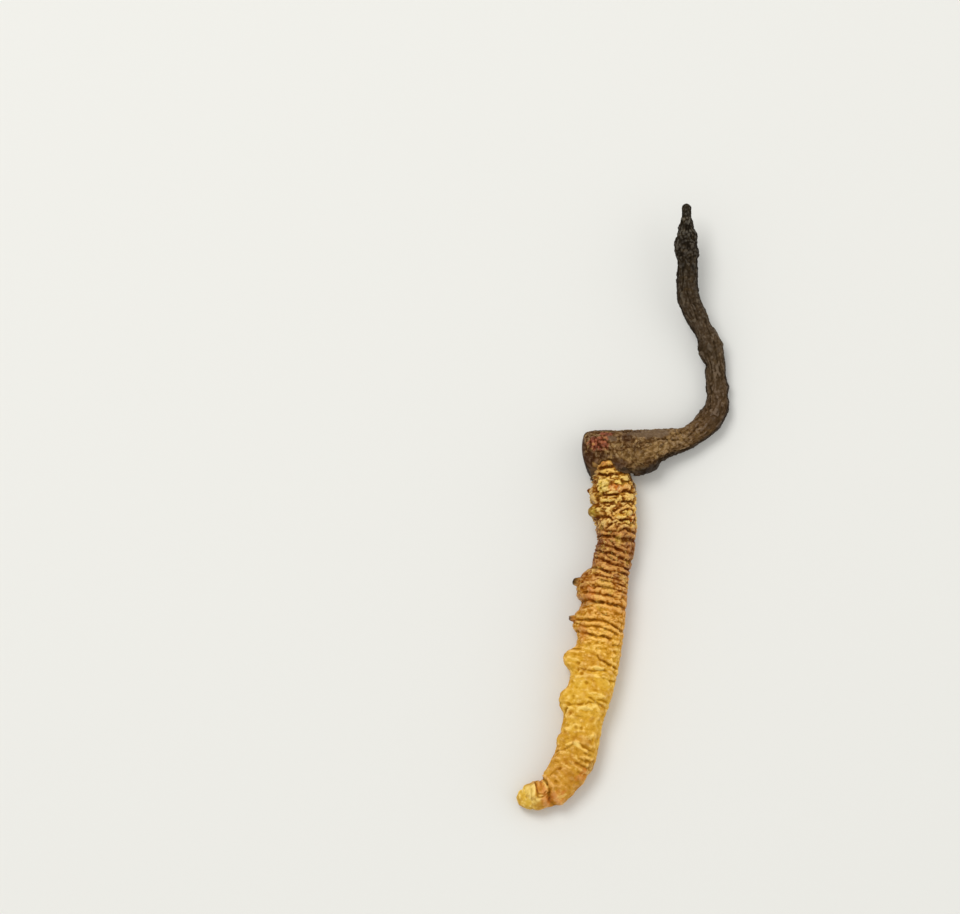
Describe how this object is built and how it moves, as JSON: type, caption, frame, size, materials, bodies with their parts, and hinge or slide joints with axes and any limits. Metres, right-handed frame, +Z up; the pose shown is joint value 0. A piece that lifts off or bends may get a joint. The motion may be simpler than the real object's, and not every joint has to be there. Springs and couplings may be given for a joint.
{
  "type": "dried cordyceps",
  "caption": "Dried cordyceps: a wrinkled golden mummified larva with belly legs and a curled tail, and a dark bent fungus stalk wrapped round its head.",
  "frame": {"origin": "on the surface it lies on, below the middle of its overall size seen from above", "axes": "+Z up from that surface, +Y along its length from the tail towards the stalk's tip, and -X towards the larva's belly legs"},
  "size_m": [0.0268, 0.0758, 0.006],
  "materials": {
    "larva_skin": "dry, matt, granular and ringed with fine folds",
    "fungus_stalk": "dry, matt, fibrous along its length"
  },
  "bodies": {
    "root": {"larva": "larva_skin", "stalk": "fungus_stalk"}
  },
  "joints": []
}
